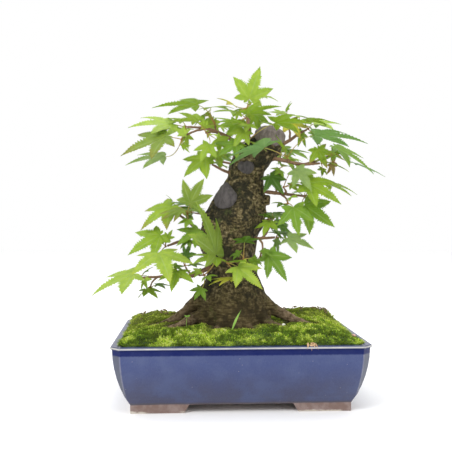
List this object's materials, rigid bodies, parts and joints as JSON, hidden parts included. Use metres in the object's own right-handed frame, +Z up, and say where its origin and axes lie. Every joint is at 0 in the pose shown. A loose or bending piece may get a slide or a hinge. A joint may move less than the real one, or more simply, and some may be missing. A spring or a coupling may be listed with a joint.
{
  "type": "potted maple bonsai tree",
  "caption": "Small maple tree with a stout winding trunk, spreading roots and sprays of lobed leaves, growing from a moss mound in a shallow rectangular glazed pot on corner feet.",
  "frame": {"origin": "middle of the whole outline in plan, on the surface that the pot's feet stand on", "axes": "+Z up, +X along the pot's length to the viewer's right, +Y away from the viewer; the front faces -Y"},
  "size_m": [0.3848, 0.238, 0.4284],
  "materials": {
    "pot_glaze": "glossy blue glaze over bare clay feet",
    "drain_mesh": "matt",
    "soil": "loose moist soil",
    "moss": "soft living moss",
    "bark": "rough bark",
    "wound_paste": "matt dried paste",
    "twig_bark": "smooth young bark",
    "grass": "fresh grass",
    "maple_leaf": "thin fresh leaf, satin"
  },
  "bodies": {
    "root": {"branch_apex": "twig_bark", "branch_back_high": "twig_bark", "branch_back_low": "twig_bark", "branch_crown_left": "twig_bark", "branch_crown_left_low": "twig_bark", "branch_crown_right": "twig_bark", "branch_front": "twig_bark", "branch_left_mid": "twig_bark", "branch_left_upper": "twig_bark", "branch_low_left": "twig_bark", "branch_right_low": "twig_bark", "branch_right_mid": "twig_bark", "branch_top_right": "twig_bark", "drain_mesh_1": "drain_mesh", "drain_mesh_2": "drain_mesh", "grass_blade": "grass", "leaves_apex": "maple_leaf", "leaves_back_high_left": "maple_leaf", "leaves_back_high_right": "maple_leaf", "leaves_back_low_left": "maple_leaf", "leaves_back_low_right": "maple_leaf", "leaves_crown_back": "maple_leaf", "leaves_crown_front": "maple_leaf", "leaves_front_left": "maple_leaf", "leaves_front_low": "maple_leaf", "leaves_front_mid": "maple_leaf", "leaves_left_front": "maple_leaf", "leaves_left_high": "maple_leaf", "leaves_left_inner": "maple_leaf", "leaves_left_low": "maple_leaf", "leaves_left_mid": "maple_leaf", "leaves_left_mid_inner": "maple_leaf", "leaves_left_tip": "maple_leaf", "leaves_left_up": "maple_leaf", "leaves_left_up_out": "maple_leaf", "leaves_low_left": "maple_leaf", "leaves_low_left_inner": "maple_leaf", "leaves_low_left_tip": "maple_leaf", "leaves_low_left_under": "maple_leaf", "leaves_low_right": "maple_leaf", "leaves_low_right_front": "maple_leaf", "leaves_low_right_out": "maple_leaf", "leaves_right_crown": "maple_leaf", "leaves_right_front": "maple_leaf", "leaves_right_high": "maple_leaf", "leaves_right_low": "maple_leaf", "leaves_right_tip": "maple_leaf", "leaves_scar_front": "maple_leaf", "leaves_side_front": "maple_leaf", "leaves_side_high": "maple_leaf", "leaves_side_mid": "maple_leaf", "leaves_side_out": "maple_leaf", "moss": "moss", "pot": "pot_glaze", "soil": "soil", "trunk": "bark", "wound_paste_middle": "wound_paste", "wound_paste_top": "wound_paste", "wound_paste_upper": "wound_paste"}
  },
  "joints": []
}
